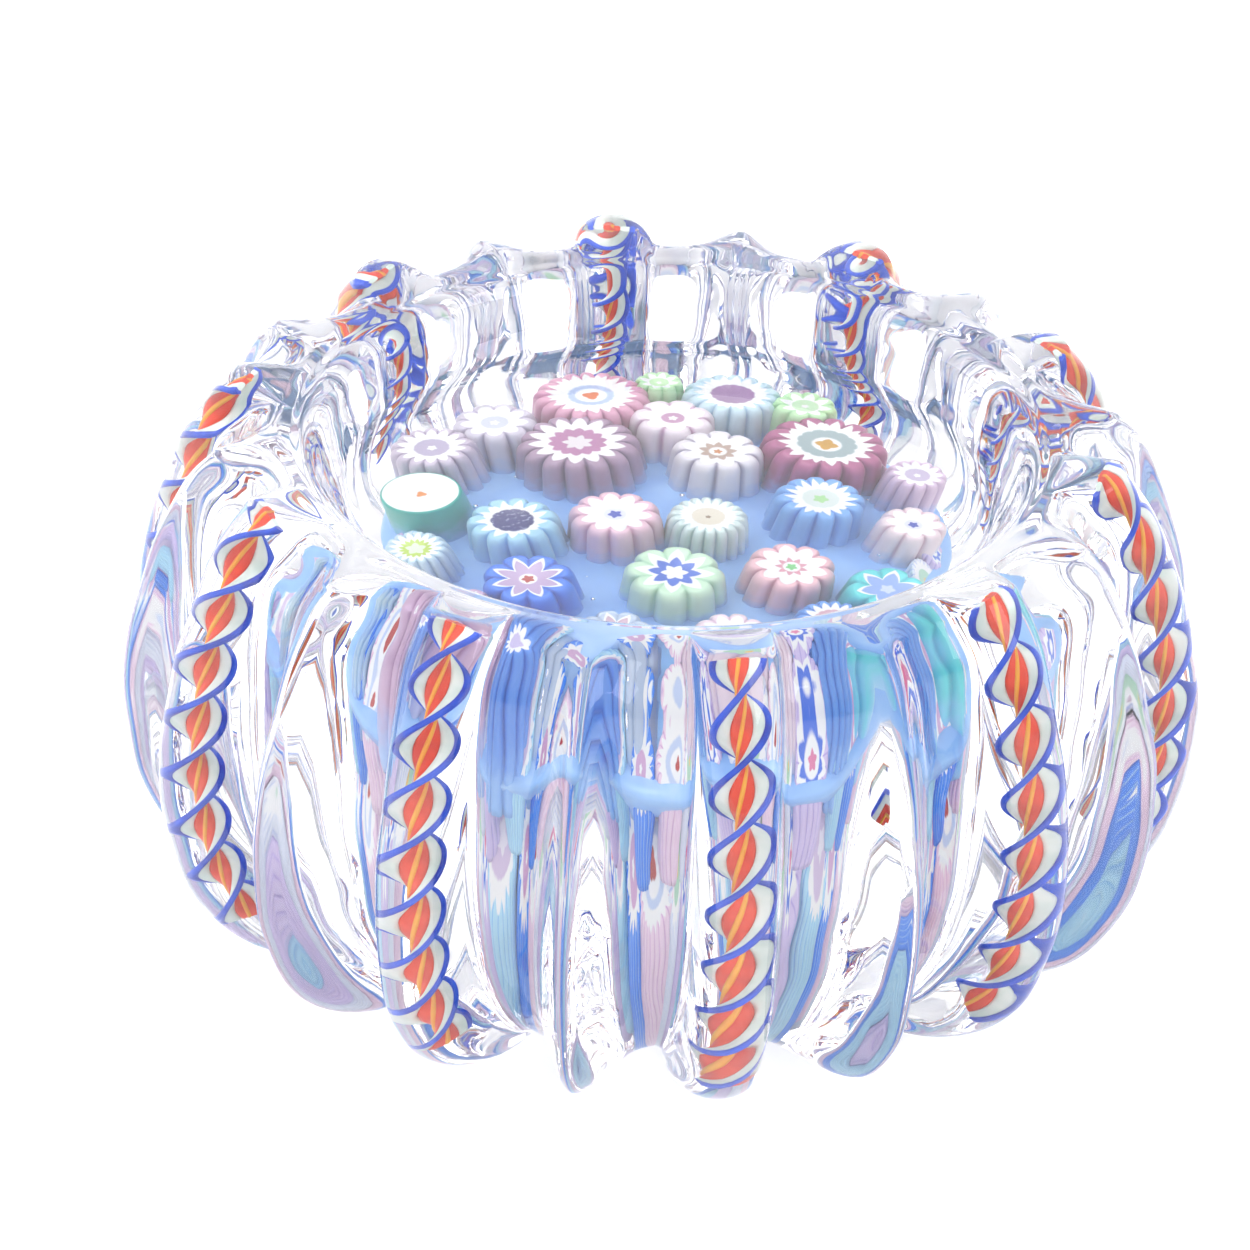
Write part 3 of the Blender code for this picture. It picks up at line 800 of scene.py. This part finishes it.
def cushion_spot(node):
    """Where a cane's top goes, the way it leans, and its radius in millimetres."""
    low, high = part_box(node)
    middle = (low + high) / 2 / MM
    out = Vector((middle.x, middle.y, 0))
    width = min(high.x - low.x, high.y - low.y) / MM
    lean = (Vector((0, 0, 1)) + CANE_LEAN * out).normalized()
    top = CANE_TOP - TOP_FALL * out.length_squared
    return Vector((TOP_SPREAD * middle.x, TOP_SPREAD * middle.y, top)) * MM, lean, width / 2


CUSHION_LENGTH = 11.5
USUAL_SWELL = 1.2                  # a cane's width over its node's: heat spreads a cut cane
SWELL = {3: 1.35, 4: 1.1, 7: 1.42, 14: 1.0, 16: 1.36, 18: 1.42, 19: 1.4, 21: 1.5, 23: 1.5, 24: 1.1}
for number, palette in enumerate(CUSHION, start=1):
    node = f"cushion_cane_{number:02d}"
    place, lean, radius = cushion_spot(node)
    plain = palette["lobes"] == 0
    glass = cane_glass("glass_" + node, **palette)
    cane = grow("set_" + node, cane_tree, {
        "Cane Radius": radius * SWELL.get(number, USUAL_SWELL) * MM,
        "Length": CUSHION_LENGTH * MM, "Top Share": 0.94 if plain else 0.80,
        "Shoulder": (0.5 if plain else 1.9) * MM, "Dish": 0.5 * MM, "Flare": 1.12,
        "Lobes": palette["lobes"], "Lobe Depth": 0.0 if plain else 0.20,
        "Turn": 0.7 * number, "Glass": glass}, cane_spots([(place, lean)]))
    slot = next(s["material_slot"] for s in frame["record"]["subparts"] if s["node"] == node)
    finish_piece(cane, slot, node)
print("triangles in one cane:", sum(len(p.vertices) - 2 for p in cane.data.polygons))

# %% [markdown]
# ## The outer canes
# Round the cushion's stem stand two rings of narrower canes, which lean in towards the foot. Their tops are
# cut on a slant, so they face outwards, and the crystal's curved wall magnifies them into long stripes with
# a patterned top. Canes of one palette and one ring share a piece.

# %% Outer canes
# each palette's second colour goes into the grooves of its lobes: painted shade where it is darker than the
# side, a paler stripe on the royal canes
OUTER = (
    dict(slot="cane_lavender", side=(0.68, 0.58, 0.88), groove_shade_and_stripe=(0.36, 0.26, 0.72), lobes=20, points=8,
         bite=0.35, ring_in=0.70, core_bite=0.3, core=(0.04, 0.16, 0.78), halo=0.4, heart=(0.76, 0.20, 0.40),
         heart_size=0.24),
    dict(slot="cane_sky", side=(0.42, 0.74, 0.94), groove_shade_and_stripe=(0.12, 0.42, 0.86), lobes=24, points=18, bite=0.2,
         ring_in=0.62, core=(0.68, 0.56, 0.78), heart=(0.84, 0.80, 0.90), heart_size=0.3),
    dict(slot="cane_white", side=(0.76, 0.82, 0.94), groove_shade_and_stripe=(0.30, 0.42, 0.86), lobes=22, points=16, bite=0.2,
         ring_in=0.55, core=(0.46, 0.74, 0.56), heart=(0.84, 0.62, 0.20)),
    dict(slot="cane_royal", side=(0.03, 0.24, 0.92), groove_shade_and_stripe=(0.52, 0.76, 0.97), lobes=20, points=14, bite=0.3,
         ring_in=0.5, core=(0.66, 0.40, 0.66), heart=WHITE),
    dict(slot="cane_pink", side=(0.88, 0.68, 0.84), groove_shade_and_stripe=(0.62, 0.30, 0.64), lobes=26, points=24, bite=0.16,
         ring_in=0.60, core=(0.56, 0.68, 0.92), halo=0.40, heart=(0.50, 0.04, 0.04), heart_size=0.22,
         heart_points=3),
)
OUTER_COUNT = 30
OUTER_ORDER = (0, 1, 3, 4, 2)      # the palettes' order round a ring, over and over
OUTER_NODES = 10
# size is a cane's radius; the rest are the radius and height of the ring of tops and of the ring of feet, the
# cut's slant, the ring's turn in degrees, and the foot's width over the top's
Ring = namedtuple("Ring", "size top_radius top_height foot_radius foot_height slant turn flare")
OUTER_RINGS = {
    "lower": Ring(2.6, 22.4, 20.4, 17.2, 3.2, 3.0, 3.4, 0.9),
    "upper": Ring(2.3, 23.8, 30.2, 21.6, 19.0, 1.7, 9.4, 0.7),
}


def outer_spots(ring, members):
    """Top and lean of some canes of a ring. Hand work shows in their slightly uneven spacing and height."""
    low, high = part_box("outer_cane_01")
    start = math.degrees(math.atan2(low.x + high.x, -low.y - high.y)) + ring.turn
    spots = []
    for index in members:
        degrees = start + 360 * index / OUTER_COUNT + 1.5 * math.sin(1.9 * index)
        top = around(ring.top_radius, degrees, ring.top_height + math.sin(2.7 * index))
        foot = around(ring.foot_radius, degrees, ring.foot_height)
        spots.append((top, (top - foot).normalized()))
    return spots


for number, palette in enumerate(OUTER):
    facts = {k: v for k, v in palette.items() if k != "slot"}
    glass = cane_glass(f"glass_outer_{number + 1}", drip=0.5, sink=0.0, **facts)
    members = [i for i in range(OUTER_COUNT) if OUTER_ORDER[i % len(OUTER)] == number]
    for level, ring in OUTER_RINGS.items():
        canes = grow(f"{level}_canes_{number + 1}", cane_tree, {
            "Cane Radius": ring.size * MM, "Length": (ring.top_height - ring.foot_height) * MM,
            "Top Share": 0.88, "Shoulder": 1.2 * MM, "Dish": 0.3 * MM, "Flare": ring.flare,
            "Lobes": palette["lobes"], "Lobe Depth": 0.08, "Turn": 0.5 * number,
            "Slant": ring.slant, "Glass": glass},
            cane_spots(outer_spots(ring, members)))
        nodes = [f"outer_cane_{n + 1:02d}" for n in range(OUTER_NODES) if n % len(OUTER) == number]
        finish_piece(canes, palette["slot"], *(nodes if level == "lower" else ()))
print("outer canes:", len(OUTER_RINGS) * OUTER_COUNT)

# %% [markdown]
# ## Air bubbles
# A few specks of air are trapped between the canes. Light can't leave glass into a bubble except head on,
# so a bubble shines like a silver bead. Points are scattered over the cushion with a fixed seed, and each
# gets a small ball of its own size.

# %% Scatter the bubbles
def bubble_board():
    board = growth_board("trapped_air", {
        "Density": ("Float", 9000.0), "Lift": ("Float", 2.5 * MM), "Least Radius": ("Float", 0.1 * MM),
        "Most Radius": ("Float", 0.3 * MM), "Seed": ("Int", 4), "Glass": ("Material", None)})
    seed = given(board, "Seed")
    normal = board.add("ShaderNodeSeparateXYZ", None, {0: board.add("GeometryNodeInputNormal")})
    upward = board.math("GREATER_THAN", normal.out("Z"), 0.8)
    points = board.add("GeometryNodeDistributePointsOnFaces", None,
                       {"Mesh": given(board, "Geometry"), "Selection": upward,
                        "Density": given(board, "Density"), "Seed": seed})
    rise = board.add("FunctionNodeRandomValue", {"data_type": "FLOAT"},
                     {"Min": 0.3 * MM, "Max": given(board, "Lift"), "Seed": seed})
    lift = board.add("ShaderNodeCombineXYZ", None, {"Z": rise})
    points = board.add("GeometryNodeSetPosition", None, {"Geometry": points, "Offset": lift})
    size = board.add("FunctionNodeRandomValue", {"data_type": "FLOAT"},
                     {"Min": given(board, "Least Radius"), "Max": given(board, "Most Radius"),
                      "Seed": seed + 1})
    ball = board.add("GeometryNodeMeshIcoSphere", None, {"Radius": 1.0, "Subdivisions": 3})
    ball = board.add("GeometryNodeSetShadeSmooth", None, {"Geometry": ball})
    balls = board.add("GeometryNodeInstanceOnPoints", None,
                      {"Points": points, "Instance": ball, "Scale": size})
    close_tree(board, balls, "Glass")
    return board


def bubble_silver():
    material, board, link = shader_board("bubble_air", 0.05, Metallic=1.0)
    place = board.add("ShaderNodeTexCoord").out("Object")
    tone = board.add("ShaderNodeTexNoise", None, {"Vector": place, "Scale": 300.0})
    link(board.mix(tone, (0.86, 0.90, 0.96), (0.98, 0.98, 1.0)), "Base Color")
    return material


bubbles = grow("air_bubbles", bubble_board(), {
    "Density": 11000.0, "Lift": 4.0 * MM, "Least Radius": 0.10 * MM, "Most Radius": 0.30 * MM,
    "Seed": 4, "Glass": bubble_silver()}, ground.data.copy())
finish_piece(bubbles, "clear_crystal")
print("bubble triangles:", len(bubbles.data.polygons))

# %% [markdown]
# ## Table, light and camera
# Clear glass shows what is around it, so the light is a bright, even studio: a white table that glows
# faintly, a white room that is greyer low down at the front, and two broad soft lamps, one overhead and one
# at the side. The overhead lamp is kept out of reflections, so no hard square shows in the well. The camera
# has a long lens and looks down at the bowl at about thirty degrees, so the ribs hardly taper.

# %% Table
def table_material():
    material, board, link = shader_board("table_white", 0.55, Emission_Color=(1, 1, 1, 1),
                                         Emission_Strength=0.3)
    place = board.add("ShaderNodeTexCoord").out("Object")
    tone = board.add("ShaderNodeTexNoise", None, {"Vector": place, "Scale": 6.0, "Detail": 3.0})
    link(board.mix(tone, (0.84, 0.84, 0.845), (0.86, 0.86, 0.86)), "Base Color")
    return material


TABLE_SIZE = 8.0
TABLE_DROP = 0.0002                # the table lies a hair below the foot
bpy.ops.mesh.primitive_plane_add(size=TABLE_SIZE, location=(0, 0, -TABLE_DROP))
table = bpy.context.object
table.name = "table"
table.data.materials.append(table_material())
print("table:", TABLE_SIZE, "m across")

# %% Light
scene = bpy.context.scene
ROOM_STRENGTH = 1.75
room = bpy.data.worlds.new("white_room")
scene.world = room
room.use_nodes = True
sky = Board(room.node_tree)
way = sky.add("ShaderNodeSeparateXYZ", None, {0: sky.add("ShaderNodeTexCoord").out("Generated")})
low_tone = sky.mix(sky.step(way.out("Y"), -0.9, 0.5), (0.50, 0.53, 0.60), (0.96, 0.98, 1.0))
tone = sky.mix(sky.step(way.out("Z"), 0.0, 0.7), low_tone, (1.0, 1.0, 1.0))
background = room.node_tree.nodes["Background"]
room.node_tree.links.new(tone.socket, background.inputs["Color"])
background.inputs["Strength"].default_value = ROOM_STRENGTH


def soft_lamp(name, size, power, place, target=(0, 0, 0.02)):
    """A square area lamp that faces the bowl."""
    lamp = bpy.data.lights.new(name, "AREA")
    lamp.size = size
    lamp.energy = power
    obj = place_object(name, lamp)
    obj.location = place
    obj.rotation_euler = (Vector(target) - Vector(place)).to_track_quat("-Z", "Y").to_euler()
    return obj


soft_lamp("lamp_over", 0.7, 10.0, (-0.35, 0.15, 0.9)).visible_glossy = False
soft_lamp("lamp_side", 0.5, 2.0, (0.6, -0.5, 0.6))

# %% Camera
CAMERA_AZIMUTH, CAMERA_ELEVATION, CAMERA_ROLL = -9.45, 29.3, 2.05
CAMERA_DISTANCE = 490.0            # from the middle of the rim, in millimetres
FRAME_HEIGHT = 110.3               # what the picture's height spans at the rim
SENSOR_WIDTH = 36.0
AIM_RIGHT, AIM_UP = -3.95, -17.0   # where the picture's middle lies from the rim's middle

turn, rise = math.radians(CAMERA_AZIMUTH), math.radians(CAMERA_ELEVATION)
back = Vector((math.sin(turn) * math.cos(rise), -math.cos(turn) * math.cos(rise), math.sin(rise)))
camera = place_object("camera", bpy.data.cameras.new("camera"))
rim = around(0, 0, WELL[0][1])
camera.location = rim + back * CAMERA_DISTANCE * MM
level = (-back).to_track_quat("-Z", "Y") @ Quaternion((0, 0, 1), math.radians(CAMERA_ROLL))
aim = rim + level @ Vector((AIM_RIGHT, AIM_UP, 0)) * MM
look = (aim - camera.location).to_track_quat("-Z", "Y")
camera.rotation_mode = "QUATERNION"
camera.rotation_quaternion = look @ Quaternion((0, 0, 1), math.radians(CAMERA_ROLL))
camera.data.sensor_width = SENSOR_WIDTH
camera.data.lens = SENSOR_WIDTH * CAMERA_DISTANCE / FRAME_HEIGHT
camera.data.clip_start = 0.01
scene.camera = camera
scene.view_settings.view_transform = "Standard"
scene.cycles.max_bounces = 32
scene.cycles.transmission_bounces = 32
scene.cycles.glossy_bounces = 16
print("lens:", round(camera.data.lens), "mm")
